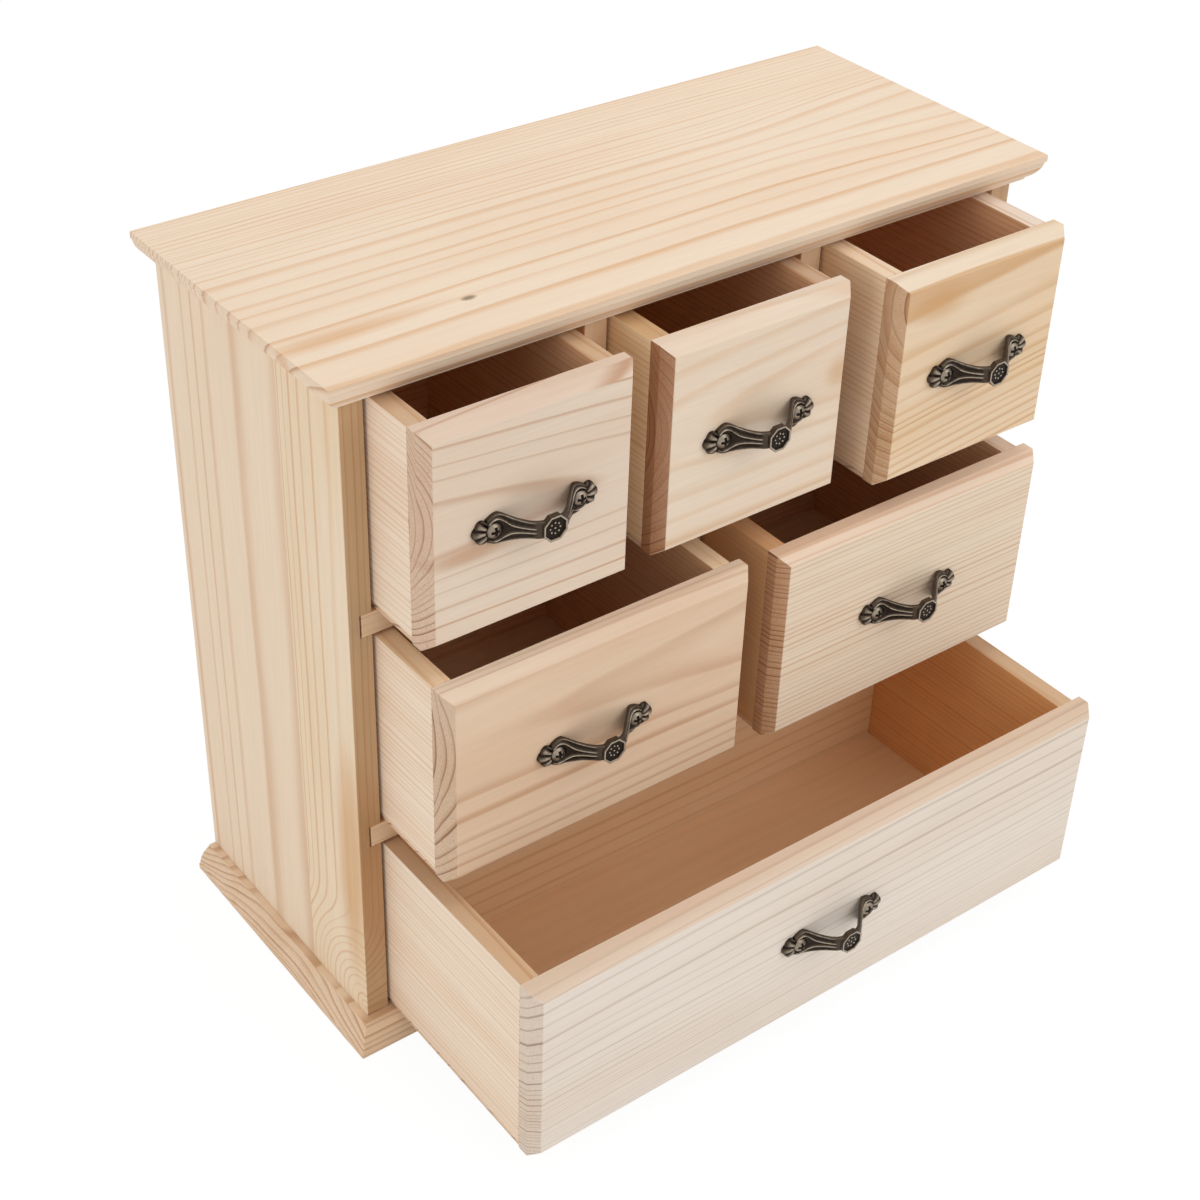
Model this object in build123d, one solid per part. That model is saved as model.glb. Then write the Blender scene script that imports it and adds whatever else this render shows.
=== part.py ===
from build123d import *
import math
import os

# A small desktop chest of six drawers in pale unfinished pine.
# Millimetres, +X to the right, +Y to the back, +Z up.
# The origin is the middle of the carcass footprint, on the underside of the base board.

# Carcass sizes
carcass_width = 284.0
carcass_depth = 116.0
overall_height = 282.0
side_panel_thickness = 9.0
shelf_thickness = 9.0
divider_thickness = 9.0
back_panel_thickness = 3.0
dado_depth = 4.5
dado_end_gap = 0.5

# Top and base boards with their moulded edges
board_thickness = 10.0
side_overhang = 8.0
front_overhang = 9.0
lip_height = 2.6
lip_step = 0.5
moulding_width = 5.0
moulding_bulge = 0.64
ledge_step = 0.8

# Nails that hold the back panel
nail_diameter = 1.4
nail_head_diameter = 3.2
nail_head_height = 0.8
nail_length = 14.0
nail_rows_inset = 30.0
nails_per_shelf = 4
nail_clearance = 0.05

# Drawer boxes
front_thickness = 9.0
front_chamfer_face = 3.2
front_chamfer_depth = 4.2
front_side_gap = 1.2
front_top_gap = 1.5
floor_gap = 0.3
drawer_side_thickness = 7.5
drawer_back_thickness = 7.5
drawer_bottom_thickness = 2.4
right_side_setback = 4.0
bottom_inset = 0.5
rear_gap = 1.0

# How far each drawer stands out of the carcass
top_left_pulled = 31.0
top_middle_pulled = 30.0
top_right_pulled = 40.0
middle_left_pulled = 41.5
middle_right_pulled = 43.5
bottom_pulled = 91.0

# The pull on the middle left drawer sits off centre
middle_left_pull_shift = -4.5

# Bow pulls
pull_screw_spacing = 32.6
pull_foot_radius = 4.4
pull_toe_radius = 2.7
pull_toe_reach = 4.8
pull_toe_spread = 2.5
pull_side_toe_radius = 2.1
pull_side_toe_reach = 4.2
pull_foot_height = 2.8
pull_projection = 11.6
pull_bow_thickness = 2.2
pull_knee_half_height = 5.6
pull_knee_inset = 1.6
pull_heel_reach = 1.8
pull_waist_half_height = 3.3
pull_shoulder_along = 0.5
pull_shoulder_rise = 0.72
pull_hollow_along = 0.3
pull_hollow_rise = 0.72
pull_crown_slope = -0.15
pull_knee_slope = -0.6
pull_hollow_slope = -0.3
pull_heel_slope = -2.0
medallion_sides = 8
medallion_across = 10.0
medallion_rim = 0.9
medallion_recess = 0.7
bead_radius = 0.55
bead_ring_radius = 2.5
bead_count = 8

# Pull screws
screw_head_diameter = 5.5
screw_head_height = 1.6
screw_shank_diameter = 2.2
screw_length = 9.0
screw_hole_clearance = 0.1
screw_seat_thickness = 1.8
screw_seat_clearance = 0.2
cross_slot_length = 3.4
cross_slot_width = 1.1
cross_slot_depth = 0.8

os.makedirs("parts", exist_ok=True)


def save(node, shape):
    export_step(shape, f"parts/{node}.step")


def slab(x_min, x_max, y_min, y_max, z_min, z_max):
    size = Box(x_max - x_min, y_max - y_min, z_max - z_min)
    return Pos((x_min + x_max) / 2, (y_min + y_max) / 2, (z_min + z_max) / 2) * size


# Planes shared by the carcass pieces
front_y = -carcass_depth / 2
rear_y = carcass_depth / 2
outer_x = carcass_width / 2
inner_x = outer_x - side_panel_thickness
panel_front_of_back = rear_y - back_panel_thickness
panel_bottom = board_thickness
panel_top = overall_height - board_thickness
row_height = (panel_top - panel_bottom - 2 * shelf_thickness) / 3
lower_shelf_bottom = panel_bottom + row_height
lower_shelf_top = lower_shelf_bottom + shelf_thickness
upper_shelf_bottom = lower_shelf_top + row_height
upper_shelf_top = upper_shelf_bottom + shelf_thickness
third_width = (2 * inner_x - 2 * divider_thickness) / 3
half_width = (2 * inner_x - divider_thickness) / 2


# Moulded board: a thin square lip, a small step in, a flat round and a ledge
def edge_run(edge, sign):
    inset = edge - sign * lip_step
    ledge = edge - sign * moulding_width
    round_top = board_thickness - ledge_step
    middle = (
        ledge + (inset - ledge) * moulding_bulge,
        lip_height + (round_top - lip_height) * moulding_bulge,
    )
    lip = Polyline((edge, 0), (edge, lip_height), (inset, lip_height))
    rounding = ThreePointArc((inset, lip_height), middle, (ledge, round_top))
    step = Line((ledge, round_top), (ledge, board_thickness))
    return lip, rounding, step


def moulded_board():
    board_x = outer_x + side_overhang
    board_front = front_y - front_overhang
    right = edge_run(board_x, 1)
    left = edge_run(-board_x, -1)
    across_top = Line((moulding_width - board_x, board_thickness), (board_x - moulding_width, board_thickness))
    across_foot = Line((-board_x, 0), (board_x, 0))
    across = make_face([*right, *left, across_top, across_foot])
    front = edge_run(board_front, -1)
    deep_top = Line((board_front + moulding_width, board_thickness), (rear_y, board_thickness))
    deep_rest = Polyline((rear_y, board_thickness), (rear_y, 0), (board_front, 0))
    along = make_face([*front, deep_top, deep_rest])
    reach = carcass_depth + 2 * front_overhang
    span = carcass_width + 4 * side_overhang
    run_back = extrude(Plane.XZ * across, amount=reach, both=True)
    run_across = extrude(Plane.YZ * along, amount=span, both=True)
    return run_back & run_across


base_board = moulded_board()
top_board = Pos(0, 0, overall_height) * mirror(moulded_board(), about=Plane.XY)
save("base_board", base_board)
save("top_board", top_board)


# Side panels with a through dado for each shelf end
def side_panel(sign):
    x_out = sign * outer_x
    x_in = sign * inner_x
    x_dado = sign * (inner_x + dado_depth)
    panel = slab(min(x_out, x_in), max(x_out, x_in), front_y, rear_y, panel_bottom, panel_top)
    for z_low in (lower_shelf_bottom, upper_shelf_bottom):
        x_low = min(x_in, x_dado)
        x_high = max(x_in, x_dado)
        panel -= slab(x_low, x_high, front_y, panel_front_of_back, z_low, z_low + shelf_thickness)
    return panel


save("left_side_panel", side_panel(-1))
save("right_side_panel", side_panel(1))


# Nails through the back panel into the rear edges of the shelves
def nail_positions():
    span = 2 * inner_x - 2 * nail_rows_inset
    step = span / (nails_per_shelf - 1)
    for z_low in (lower_shelf_bottom, upper_shelf_bottom):
        for index in range(nails_per_shelf):
            yield nail_rows_inset - inner_x + index * step, z_low + shelf_thickness / 2


def nail(extra):
    shank_radius = nail_diameter / 2 + extra
    head_radius = nail_head_diameter / 2 + extra
    turn = Rot(90, 0, 0)
    shank = Pos(0, rear_y - nail_length / 2, 0) * turn * Cylinder(shank_radius, nail_length)
    head = Pos(0, rear_y - nail_head_height / 2, 0) * turn * Cylinder(head_radius, nail_head_height)
    return shank + head


nail_holes = [Pos(x, 0, z) * nail(nail_clearance) for x, z in nail_positions()]
nails = [Pos(x, 0, z) * nail(0) for x, z in nail_positions()]
save("back_panel_nails", Compound(children=nails))

back_panel = slab(-inner_x, inner_x, panel_front_of_back, rear_y, panel_bottom, panel_top)
save("back_panel", back_panel - nail_holes)


# Shelves let into the side panels, flush with the front edges
def shelf(z_low):
    reach = inner_x + dado_depth - dado_end_gap
    board = slab(-reach, reach, front_y, panel_front_of_back, z_low, z_low + shelf_thickness)
    return board - nail_holes


save("lower_shelf", shelf(lower_shelf_bottom))
save("upper_shelf", shelf(upper_shelf_bottom))


# Upright dividers between the drawers of one row
def divider(x_low, z_low):
    return slab(x_low, x_low + divider_thickness, front_y, panel_front_of_back, z_low, z_low + row_height)


save("top_left_divider", divider(third_width - inner_x, upper_shelf_top))
save("top_right_divider", divider(inner_x - third_width - divider_thickness, upper_shelf_top))
save("middle_divider", divider(-divider_thickness / 2, lower_shelf_top))


# Bow pull, its back on y = 0, its middle at the origin and its bow towards -Y
def pull_plan():
    foot_end = pull_screw_spacing / 2 + pull_toe_reach + pull_toe_radius
    foot_start = pull_screw_spacing / 2 - pull_foot_radius - pull_bow_thickness / 2
    crown = medallion_across / 2
    inner_out = pull_projection - pull_bow_thickness
    arm_run = foot_start - crown
    arm_rise = pull_projection - pull_foot_height
    shoulder = (crown + pull_shoulder_along * arm_run, pull_foot_height + pull_shoulder_rise * arm_rise)
    hollow = (crown + pull_hollow_along * arm_run, pull_hollow_rise * inner_out)
    outer = Spline(
        (crown, pull_projection),
        shoulder,
        (foot_start + pull_bow_thickness, pull_foot_height),
        tangents=((1, pull_crown_slope), (1, pull_knee_slope)),
    )
    inner = Spline(
        (crown - pull_bow_thickness / 4, inner_out),
        hollow,
        (foot_start, 0),
        tangents=((1, pull_hollow_slope), (1, pull_heel_slope)),
    )
    top_run = Line((0, pull_projection), (crown, pull_projection))
    foot_run = Polyline(
        (foot_start + pull_bow_thickness, pull_foot_height),
        (foot_end - pull_toe_radius, pull_foot_height),
        (foot_end, pull_foot_height / 2),
        (foot_end, 0),
        (foot_start, 0),
    )
    under_run = Line((crown - pull_bow_thickness / 4, inner_out), (0, inner_out))
    close_run = Line((0, inner_out), (0, pull_projection))
    half = make_face([top_run, outer, foot_run, inner, under_run, close_run])
    return half + mirror(half, about=Plane.YZ)


def medallion(half_across):
    return RegularPolygon(half_across, medallion_sides, major_radius=False, rotation=180 / medallion_sides)


def pull_outline():
    screw_x = pull_screw_spacing / 2
    crown = medallion_across / 2
    knee = screw_x - pull_knee_inset
    heel = screw_x + pull_heel_reach
    upper = Spline(
        (0, pull_waist_half_height),
        (crown, pull_waist_half_height),
        (knee, pull_knee_half_height),
        (heel, pull_foot_radius),
    )
    close = Polyline((heel, pull_foot_radius), (heel, 0), (0, 0), (0, pull_waist_half_height))
    quarter = make_face([upper, close])
    arm = quarter + mirror(quarter, about=Plane.XZ)
    foot = Pos(screw_x, 0) * Circle(pull_foot_radius)
    middle_toe = Pos(screw_x + pull_toe_reach, 0) * Circle(pull_toe_radius)
    side_toe = Pos(screw_x + pull_side_toe_reach, pull_toe_spread) * Circle(pull_side_toe_radius)
    half = arm + foot + middle_toe + side_toe + mirror(side_toe, about=Plane.XZ)
    return half + mirror(half, about=Plane.YZ) + medallion(medallion_across / 2)


def screw_spots():
    return [(-pull_screw_spacing / 2, 0), (pull_screw_spacing / 2, 0)]


def make_pull():
    depth = 2 * pull_projection
    bow = extrude(mirror(pull_plan(), about=Plane.XZ), amount=depth, both=True)
    face_on = extrude(Plane.XZ * pull_outline(), amount=depth, both=True)
    pull = bow & face_on
    rim = medallion(medallion_across / 2 - medallion_rim)
    floor_y = medallion_recess - pull_projection
    pull -= Pos(0, floor_y, 0) * extrude(Plane.XZ * rim, amount=depth)
    beads = [(0, 0)]
    for index in range(bead_count):
        angle = 2 * math.pi * index / bead_count
        beads.append((bead_ring_radius * math.cos(angle), bead_ring_radius * math.sin(angle)))
    for x, z in beads:
        pull += Pos(x, floor_y, z) * Sphere(bead_radius)
    seat_radius = screw_head_diameter / 2 + screw_seat_clearance
    hole_radius = screw_shank_diameter / 2 + screw_hole_clearance
    for x, z in screw_spots():
        seat = Rot(90, 0, 0) * Cylinder(seat_radius, depth)
        pull -= Pos(x, -screw_seat_thickness - depth / 2, z) * seat
        pull -= Pos(x, 0, z) * Rot(90, 0, 0) * Cylinder(hole_radius, depth)
    return pull


# Round-headed cross-slot screw, its head seated in the foot of the pull
def make_screw():
    turn = Rot(90, 0, 0)
    head_radius = screw_head_diameter / 2
    dome_radius = (head_radius ** 2 + screw_head_height ** 2) / (2 * screw_head_height)
    seat_y = -screw_seat_thickness
    ball = Pos(0, seat_y - screw_head_height + dome_radius, 0) * Sphere(dome_radius)
    trim = Pos(0, seat_y - screw_head_height / 2, 0) * turn * Cylinder(head_radius, screw_head_height)
    head = ball & trim
    slot_y = seat_y - screw_head_height
    slot_depth = 2 * cross_slot_depth
    head -= Pos(0, slot_y, 0) * Box(cross_slot_length, slot_depth, cross_slot_width)
    head -= Pos(0, slot_y, 0) * Box(cross_slot_width, slot_depth, cross_slot_length)
    shank = Pos(0, seat_y + screw_length / 2, 0) * turn * Cylinder(screw_shank_diameter / 2, screw_length)
    return head + shank


pull_shape = make_pull()
screw_shape = make_screw()


# One drawer: chamfered front, two sides butted behind it, a back and a thin bottom underneath
def make_drawer(name, x_low, x_high, z_low, z_high, pulled, pull_shift):
    face_y = front_y - pulled
    joint_y = face_y + front_thickness
    end_y = panel_front_of_back - rear_gap - pulled
    left = x_low + front_side_gap
    right = x_high - front_side_gap
    foot = z_low + floor_gap
    head = z_high - front_top_gap
    box_right = right - right_side_setback
    box_foot = foot + drawer_bottom_thickness
    left_in = left + drawer_side_thickness
    right_in = box_right - drawer_side_thickness

    pull_x = (left + right) / 2 + pull_shift
    pull_z = (foot + head) / 2
    spots = [(pull_x + x, pull_z + z) for x, z in screw_spots()]

    front = slab(left, right, face_y, joint_y, foot, head)
    face = front.faces().sort_by(Axis.Y)[0]
    front = chamfer(face.edges(), front_chamfer_face, front_chamfer_depth, reference=face)
    hole_radius = screw_shank_diameter / 2 + screw_hole_clearance
    for x, z in spots:
        front -= Pos(x, (face_y + joint_y) / 2, z) * Rot(90, 0, 0) * Cylinder(hole_radius, front_thickness)
    save(f"{name}_drawer_front", front)
    save(f"{name}_drawer_left_side", slab(left, left_in, joint_y, end_y, box_foot, head))
    save(f"{name}_drawer_right_side", slab(right_in, box_right, joint_y, end_y, box_foot, head))
    back = slab(left_in, right_in, end_y - drawer_back_thickness, end_y, box_foot, head)
    save(f"{name}_drawer_back", back)
    bottom = slab(left + bottom_inset, box_right - bottom_inset, joint_y, end_y, foot, box_foot)
    save(f"{name}_drawer_bottom", bottom)
    save(f"{name}_pull", Pos(pull_x, face_y, pull_z) * pull_shape)
    screws = [Pos(x, face_y, z) * screw_shape for x, z in spots]
    save(f"{name}_pull_screws", Compound(children=screws))


top_pitch = third_width + divider_thickness
middle_pitch = half_width + divider_thickness
top_row = [("top_left", top_left_pulled), ("top_middle", top_middle_pulled), ("top_right", top_right_pulled)]
for column, (name, pulled) in enumerate(top_row):
    x_start = column * top_pitch - inner_x
    make_drawer(name, x_start, x_start + third_width, upper_shelf_top, panel_top, pulled, 0)
middle_row = [("middle_left", middle_left_pulled, middle_left_pull_shift), ("middle_right", middle_right_pulled, 0)]
for column, (name, pulled, shift) in enumerate(middle_row):
    x_start = column * middle_pitch - inner_x
    make_drawer(name, x_start, x_start + half_width, lower_shelf_top, upper_shelf_bottom, pulled, shift)
make_drawer("bottom", -inner_x, inner_x, panel_bottom, lower_shelf_bottom, bottom_pulled, 0)
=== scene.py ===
import math
import bpy
from mathutils import Matrix, Vector


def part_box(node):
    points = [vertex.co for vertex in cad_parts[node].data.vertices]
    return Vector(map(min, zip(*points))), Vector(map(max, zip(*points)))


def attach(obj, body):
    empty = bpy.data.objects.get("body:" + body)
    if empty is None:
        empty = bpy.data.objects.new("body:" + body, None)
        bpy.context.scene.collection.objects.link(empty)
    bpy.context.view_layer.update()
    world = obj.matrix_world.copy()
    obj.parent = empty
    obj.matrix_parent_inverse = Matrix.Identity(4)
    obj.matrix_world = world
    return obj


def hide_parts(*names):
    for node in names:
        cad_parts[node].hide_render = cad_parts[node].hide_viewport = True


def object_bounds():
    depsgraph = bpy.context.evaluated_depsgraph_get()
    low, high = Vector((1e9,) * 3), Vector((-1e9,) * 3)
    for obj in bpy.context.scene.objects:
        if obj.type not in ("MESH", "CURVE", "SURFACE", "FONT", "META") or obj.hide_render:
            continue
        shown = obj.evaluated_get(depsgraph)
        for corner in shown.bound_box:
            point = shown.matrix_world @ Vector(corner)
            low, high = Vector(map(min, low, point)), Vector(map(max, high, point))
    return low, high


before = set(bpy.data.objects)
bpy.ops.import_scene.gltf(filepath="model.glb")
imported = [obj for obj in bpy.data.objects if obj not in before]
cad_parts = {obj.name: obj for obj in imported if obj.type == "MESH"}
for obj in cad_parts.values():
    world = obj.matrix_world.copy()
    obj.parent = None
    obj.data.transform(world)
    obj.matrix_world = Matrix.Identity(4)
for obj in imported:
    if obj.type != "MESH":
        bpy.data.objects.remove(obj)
cad_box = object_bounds()
bpy.ops.object.select_all(action="DESELECT")


# Base board: one bare pine board, its front and end edges run with a lip, a quirk and a round.
# The side panels stand on its flat ledge. Every board is planed and sanded, so its arrises are eased.
board_ease = 0.0003
fine_ease = 0.0002
merge_gap = 0.00001
flat_angle = math.radians(0.5)
arris_angle = math.radians(28)
board_smooth_angle = math.radians(12)


def eased_board(node, body, ease):
    board = bpy.data.objects.new(node + "_eased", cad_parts[node].data.copy())
    bpy.context.collection.objects.link(board)
    bpy.context.view_layer.objects.active = board
    board.select_set(True)
    bpy.ops.object.mode_set(mode="EDIT")
    bpy.ops.mesh.select_mode(type="EDGE")
    bpy.ops.mesh.select_all(action="SELECT")
    bpy.ops.mesh.remove_doubles(threshold=merge_gap)
    bpy.ops.mesh.dissolve_limited(angle_limit=flat_angle)
    bpy.ops.mesh.select_all(action="DESELECT")
    bpy.ops.mesh.edges_select_sharp(sharpness=arris_angle)
    bpy.ops.mesh.bevel(offset=ease, segments=2, affect="EDGES")
    bpy.ops.object.mode_set(mode="OBJECT")
    bpy.ops.object.shade_smooth_by_angle(angle=board_smooth_angle)
    board.select_set(False)
    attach(board, body)
    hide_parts(node)
    return board


def feed(tree, socket, value):
    if isinstance(value, bpy.types.NodeSocket):
        tree.links.new(value, socket)
    else:
        socket.default_value = value


def reckon(tree, operation, *values):
    node = tree.nodes.new("ShaderNodeMath")
    node.operation = operation
    for socket, value in zip(node.inputs, values):
        feed(tree, socket, value)
    return node.outputs[0]


def reckon_vector(tree, operation, *values):
    node = tree.nodes.new("ShaderNodeVectorMath")
    node.operation = operation
    for socket, value in zip(node.inputs, values):
        feed(tree, socket, value)
    return node.outputs["Value" if operation in ("LENGTH", "DOT_PRODUCT") else "Vector"]


def stretch(tree, vector, factors):
    return reckon_vector(tree, "MULTIPLY", vector, factors)


def split(tree, vector):
    node = tree.nodes.new("ShaderNodeSeparateXYZ")
    feed(tree, node.inputs[0], vector)
    return node.outputs


def cloud(tree, vector, seed, detail):
    node = tree.nodes.new("ShaderNodeTexNoise")
    node.noise_dimensions = "4D"
    feed(tree, node.inputs["Vector"], vector)
    feed(tree, node.inputs["W"], seed)
    node.inputs["Scale"].default_value = 1.0
    node.inputs["Detail"].default_value = detail
    return reckon(tree, "SUBTRACT", node.outputs[0], 0.5)


def ease_between(tree, value, low, high):
    node = tree.nodes.new("ShaderNodeMapRange")
    node.interpolation_type = "SMOOTHSTEP"
    feed(tree, node.inputs["Value"], value)
    feed(tree, node.inputs["From Min"], low)
    feed(tree, node.inputs["From Max"], high)
    return node.outputs[0]


def blend_colours(tree, kind, amount, first, second):
    node = tree.nodes.new("ShaderNodeMix")
    node.data_type = "RGBA"
    node.blend_type = kind
    feed(tree, node.inputs[0], amount)
    feed(tree, node.inputs[6], first)
    feed(tree, node.inputs[7], second)
    return node.outputs[2]


# Growth rings round a heart line, so that face, edge and end grain of one board agree.
# Rings can grow tighter further out or open round an eye, and the heart can bend out of the board.
def pine_grain_group():
    group = bpy.data.node_groups.new("pine grain", "ShaderNodeTree")
    wanted = {
        "NodeSocketVector": ("Log", "Grain", "Lean", "Eye", "Knot", "Streak", "Streak Size", "Inner"),
        "NodeSocketFloat": (
            "Seed", "Ring", "Tight Ring", "Tight From", "Wander", "Lines", "Late Start", "Late Peak",
            "Bend From", "Bend Run", "Knot Core", "End Shade", "End Rings", "Both Sides",
        ),
        "NodeSocketColor": ("End Grain And Shade", "Upper Light And Shade", "Painted Inner Shade", "Pale", "Blush", "Line"),
    }
    for kind, names in wanted.items():
        for name in names:
            group.interface.new_socket(name=name, in_out="INPUT", socket_type=kind)
    results = {"Color": "NodeSocketColor", "Roughness": "NodeSocketFloat", "Relief": "NodeSocketFloat"}
    for name, kind in results.items():
        group.interface.new_socket(name=name, in_out="OUTPUT", socket_type=kind)
    given = group.nodes.new("NodeGroupInput").outputs
    result = group.nodes.new("NodeGroupOutput")
    log = given["Log"]
    seed = given["Seed"]

    # Distance from the heart, which may lean, bend and open round an eye
    bend_softness = 0.5
    eye_length = 0.11
    eye_half_width = 0.05
    along, across, above = split(group, log)
    lean = split(group, given["Lean"])
    across = reckon(group, "MULTIPLY_ADD", along, lean[1], across)
    above = reckon(group, "MULTIPLY_ADD", along, lean[2], above)
    past_bend = reckon(group, "SUBTRACT", along, given["Bend From"])
    past_bend = reckon(group, "DIVIDE", past_bend, given["Bend Run"])
    above = reckon(group, "MULTIPLY", above, reckon(group, "SMOOTH_MIN", past_bend, 1.0, bend_softness))
    eye_along, eye_across, eye_strength = split(group, given["Eye"])
    from_eye = reckon(group, "SUBTRACT", across, eye_across)
    opening = ease_between(group, reckon(group, "SUBTRACT", along, eye_along), 0.0, eye_length)
    beside = ease_between(group, reckon(group, "ABSOLUTE", from_eye), eye_half_width, 0.0)
    opening = reckon(group, "MULTIPLY", reckon(group, "MULTIPLY", opening, beside), eye_strength)
    across = reckon(group, "SUBTRACT", across, reckon(group, "MULTIPLY", from_eye, opening))
    above_squared = reckon(group, "MULTIPLY", above, above)
    radius = reckon(group, "SQRT", reckon(group, "MULTIPLY_ADD", across, across, above_squared))

    # Rings counted outwards: they wander, differ in width and grow tighter past a given radius
    slow_waves = (5.0, 17.0, 17.0)
    quick_waves = (20.0, 55.0, 55.0)
    wave_detail = 1.5
    slow_share = 2.0
    quick_share = 0.35
    tight_softness = 0.016
    uneven_pace = 0.31
    uneven_rings = 1.5
    slow = cloud(group, stretch(group, log, slow_waves), seed, wave_detail)
    quick = cloud(group, stretch(group, log, quick_waves), seed, wave_detail)
    wander = reckon(group, "MULTIPLY_ADD", quick, quick_share, reckon(group, "MULTIPLY", slow, slow_share))
    radius = reckon(group, "MULTIPLY_ADD", wander, given["Wander"], radius)
    wide = reckon(group, "DIVIDE", 1.0, given["Ring"])
    tight = reckon(group, "SUBTRACT", reckon(group, "DIVIDE", 1.0, given["Tight Ring"]), wide)
    beyond = reckon(group, "SUBTRACT", radius, given["Tight From"])
    beyond = reckon(group, "SMOOTH_MAX", beyond, 0.0, tight_softness)
    rings = reckon(group, "MULTIPLY_ADD", beyond, tight, reckon(group, "MULTIPLY", radius, wide))
    uneven = group.nodes.new("ShaderNodeTexNoise")
    uneven.noise_dimensions = "1D"
    feed(group, uneven.inputs["W"], reckon(group, "MULTIPLY_ADD", rings, uneven_pace, seed))
    uneven.inputs["Scale"].default_value = 1.0
    uneven.inputs["Detail"].default_value = 1.0
    rings = reckon(group, "MULTIPLY_ADD", uneven.outputs[0], uneven_rings, rings)

    # Late wood: a darker line at the end of each year, stronger in some years and places
    patch_waves = (7.0, 45.0, 45.0)
    patch_seed = 9.0
    fine_detail = 2.0
    faintest_year = 0.45
    year_spread = 0.7
    patch_spread = 0.9
    season = reckon(group, "FRACT", rings)
    luck = group.nodes.new("ShaderNodeTexWhiteNoise")
    luck.noise_dimensions = "1D"
    feed(group, luck.inputs["W"], reckon(group, "ADD", reckon(group, "FLOOR", rings), seed))
    darkening = ease_between(group, season, given["Late Start"], given["Late Peak"])
    late = reckon(group, "SUBTRACT", darkening, ease_between(group, season, given["Late Peak"], 1.0))
    weight = reckon(group, "MULTIPLY_ADD", luck.outputs["Value"], year_spread, faintest_year)
    drift_seed = reckon(group, "ADD", seed, patch_seed)
    drift = cloud(group, stretch(group, log, patch_waves), drift_seed, fine_detail)
    weight = reckon(group, "MULTIPLY_ADD", drift, patch_spread, weight)
    mark = reckon(group, "MULTIPLY", late, reckon(group, "MULTIPLY", weight, given["Lines"]))

    # Face colour: pale and blushing patches, one streak, the lines, the fibres and a pin knot
    blush_range = (-0.22, 0.28)
    streak_fray = 0.5
    streak_core = 0.2
    streak_strength = 0.7
    fibre_waves = (55.0, 1700.0, 1700.0)
    soft_waves = (14.0, 420.0, 420.0)
    fibre_contrast = 0.13
    soft_contrast = 0.09
    knot_stretch = (0.5, 1.0, 0.0)
    knot_dark_share = 0.3
    knot_strength = 0.85
    knot_brown = (0.26, 0.17, 0.09, 1.0)
    patch = ease_between(group, drift, *blush_range)
    colour = blend_colours(group, "MIX", patch, given["Pale"], given["Blush"])
    off_streak = reckon_vector(group, "SUBTRACT", log, given["Streak"])
    off_streak = reckon_vector(group, "DIVIDE", off_streak, given["Streak Size"])
    off_streak = reckon_vector(group, "LENGTH", off_streak)
    frayed = reckon(group, "MULTIPLY_ADD", quick, streak_fray, off_streak)
    streak = reckon(group, "MULTIPLY", ease_between(group, frayed, 1.0, streak_core), streak_strength)
    colour = blend_colours(group, "MIX", streak, colour, given["Line"])
    colour = blend_colours(group, "MIX", mark, colour, given["Line"])
    fibre = cloud(group, stretch(group, log, fibre_waves), seed, fine_detail)
    soft = cloud(group, stretch(group, log, soft_waves), seed, fine_detail)
    light = reckon(group, "MULTIPLY_ADD", soft, soft_contrast, 1.0)
    light = reckon(group, "MULTIPLY_ADD", fibre, fibre_contrast, light)
    shade = group.nodes.new("ShaderNodeCombineColor")
    for socket in shade.inputs[:3]:
        feed(group, socket, light)
    colour = blend_colours(group, "MULTIPLY", 1.0, colour, shade.outputs[0])
    off_knot = reckon_vector(group, "SUBTRACT", log, given["Knot"])
    off_knot = reckon_vector(group, "LENGTH", stretch(group, off_knot, knot_stretch))
    knot_dark = reckon(group, "MULTIPLY", given["Knot Core"], knot_dark_share)
    core = ease_between(group, off_knot, given["Knot Core"], knot_dark)
    colour = blend_colours(group, "MIX", reckon(group, "MULTIPLY", core, knot_strength), colour, knot_brown)

    # End grain: browner where the saw cut across, with thin lines and open pores. The end tint also holds
    # painted shade, for ends that stand in shaded gaps between drawers.
    end_range = (0.35, 0.9)
    end_late_start = 0.74
    end_late_peak = 0.92
    speck_waves = (700.0, 2100.0, 2100.0)
    pore_range = (0.0, 0.22)
    pore_strength = 0.45
    end_line_tint = (0.47, 0.37, 0.32, 1.0)
    normal = group.nodes.new("ShaderNodeTexCoord").outputs["Normal"]
    facing = reckon_vector(group, "DOT_PRODUCT", normal, given["Grain"])
    end = ease_between(group, reckon(group, "ABSOLUTE", facing), *end_range)
    sawn_and_shaded = blend_colours(group, "MULTIPLY", 1.0, colour, given["End Grain And Shade"])
    colour = blend_colours(group, "MIX", reckon(group, "MULTIPLY", end, given["End Shade"]), colour, sawn_and_shaded)
    end_season = reckon(group, "FRACT", reckon(group, "MULTIPLY", rings, given["End Rings"]))
    darkening = ease_between(group, end_season, end_late_start, end_late_peak)
    thin = reckon(group, "SUBTRACT", darkening, ease_between(group, end_season, end_late_peak, 1.0))
    specks = cloud(group, stretch(group, log, speck_waves), seed, fine_detail)
    pores = reckon(group, "MULTIPLY", ease_between(group, specks, *pore_range), pore_strength)
    end_mark = reckon(group, "MAXIMUM", reckon(group, "MULTIPLY", thin, weight), pores)
    end_mark = reckon(group, "MULTIPLY", reckon(group, "MULTIPLY", end, end_mark), given["End Shade"])
    cut = blend_colours(group, "MULTIPLY", 1.0, colour, end_line_tint)
    colour = blend_colours(group, "MIX", end_mark, colour, cut)
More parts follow.
